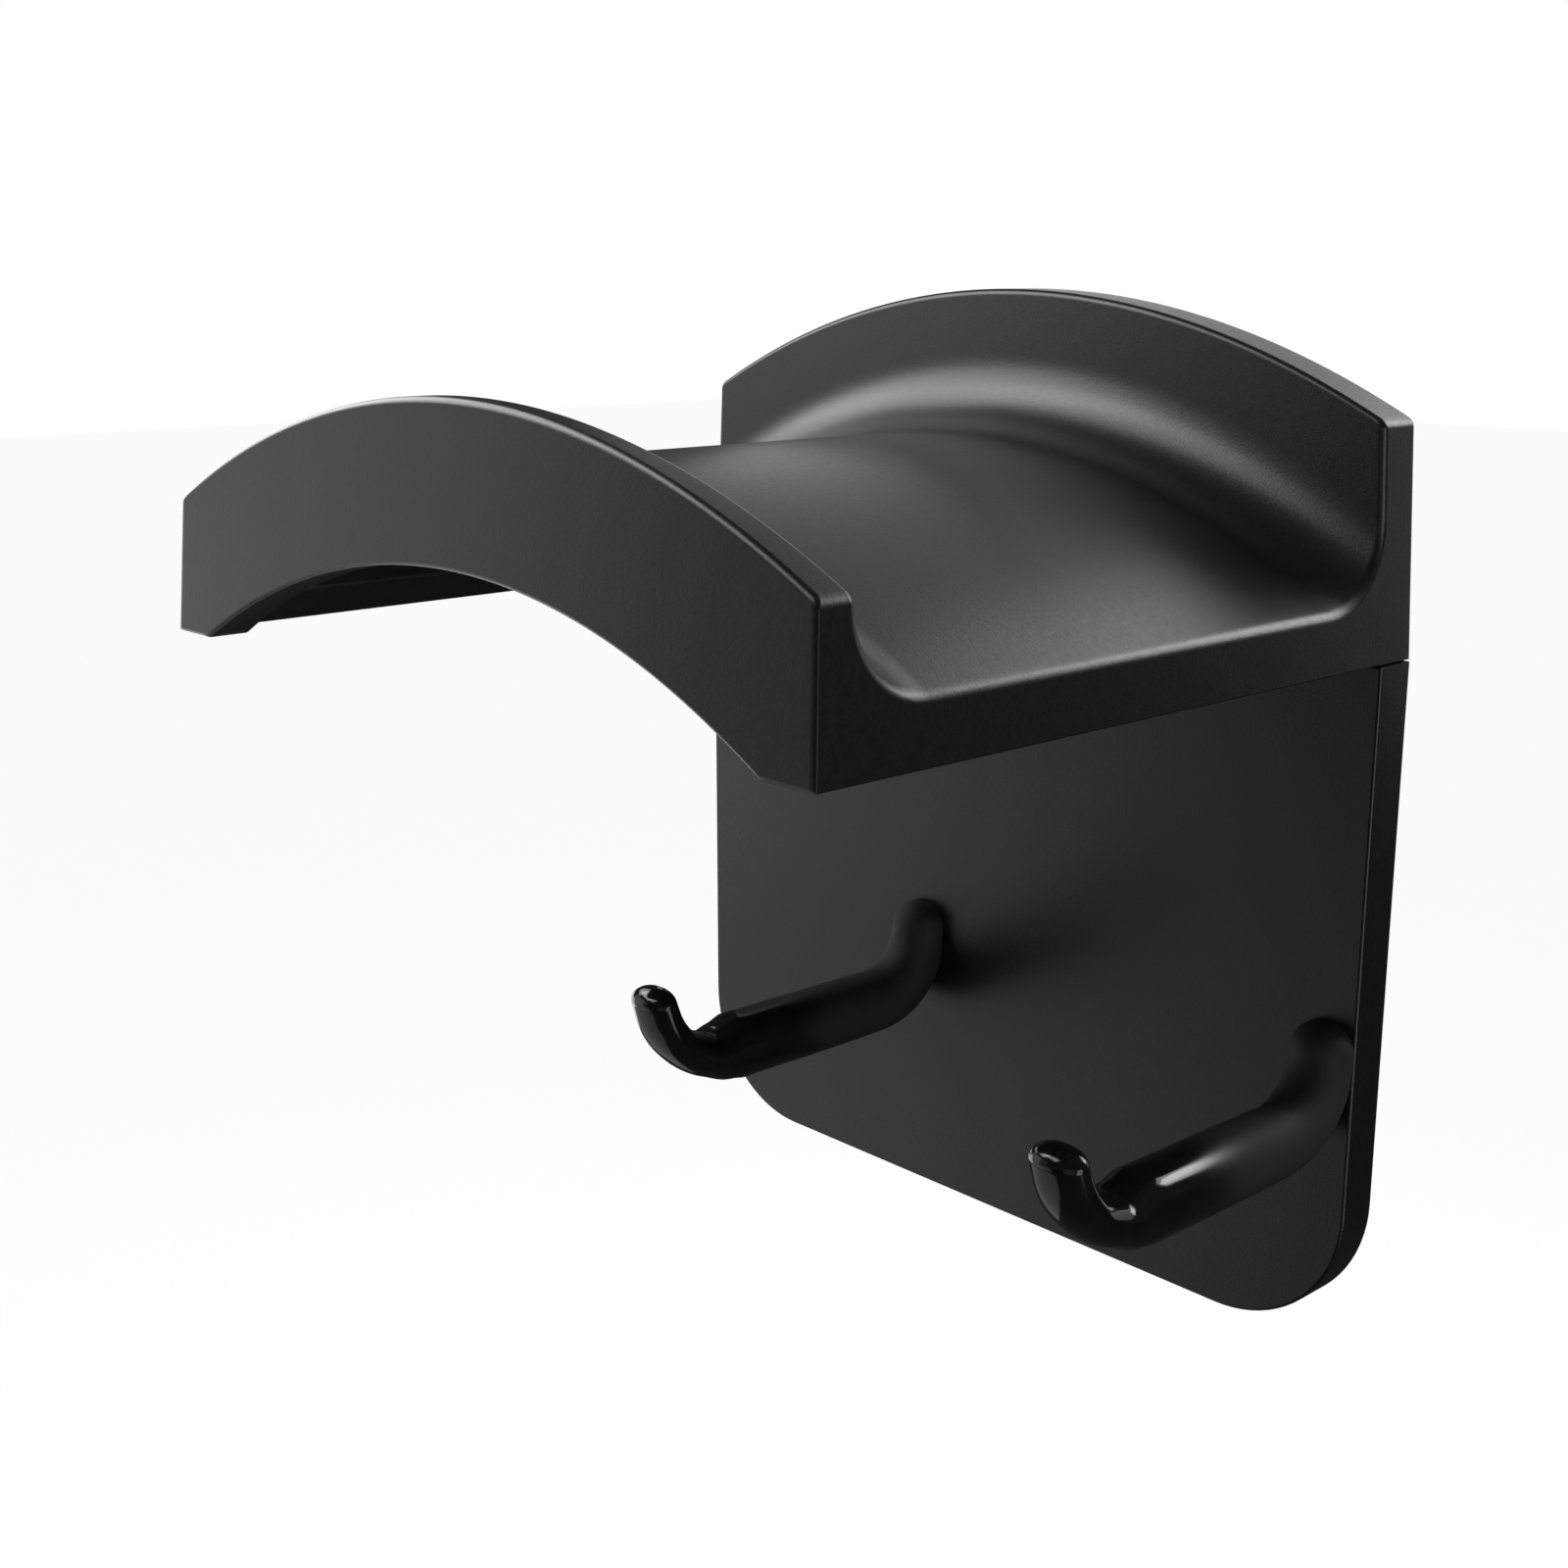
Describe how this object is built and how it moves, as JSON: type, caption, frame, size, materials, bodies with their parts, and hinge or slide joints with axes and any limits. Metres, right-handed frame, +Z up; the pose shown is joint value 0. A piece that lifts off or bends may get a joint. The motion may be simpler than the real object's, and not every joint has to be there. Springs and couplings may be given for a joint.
{
  "type": "hair dryer holder",
  "caption": "Matte black wall holder for a hair dryer: an arched saddle with a front lip and a taller rear flange, over a plate with upturned gloss hooks.",
  "frame": {"origin": "middle of the adhesive pad's back face, on the wall", "axes": "+X to the right of a person who faces the wall, -Y out from the wall towards that person, +Z up"},
  "size_m": [0.1226, 0.1009, 0.1347],
  "materials": {
    "moulded_body": "finely grained matte black moulding",
    "gloss_hooks": "gloss black",
    "plated_steel": "zinc plated",
    "foam": "white closed-cell foam tape, guessed",
    "rubber": "matt black rubber"
  },
  "bodies": {
    "mount": {"wall_bracket": "plated_steel", "adhesive_pad": "foam"},
    "holder": {"saddle": "moulded_body", "back_plate": "moulded_body", "hook_left": "gloss_hooks", "hook_right": "gloss_hooks", "hook_screw_left": "plated_steel", "hook_screw_right": "plated_steel", "hook_washer_left": "plated_steel", "hook_washer_right": "plated_steel", "saddle_screw_1": "plated_steel", "saddle_screw_2": "plated_steel", "saddle_screw_3": "plated_steel", "saddle_screw_4": "plated_steel", "hanger_bar": "plated_steel", "hanger_screw_left": "plated_steel", "hanger_screw_right": "plated_steel", "bumper_lower_left": "rubber", "bumper_lower_right": "rubber", "bumper_upper_left": "rubber", "bumper_upper_right": "rubber"}
  },
  "joints": [
    {"name": "holder_lift", "type": "slide", "parent": "mount", "child": "holder", "axis": [0, 0, 1], "range_m": [0, 0.01]}
  ]
}
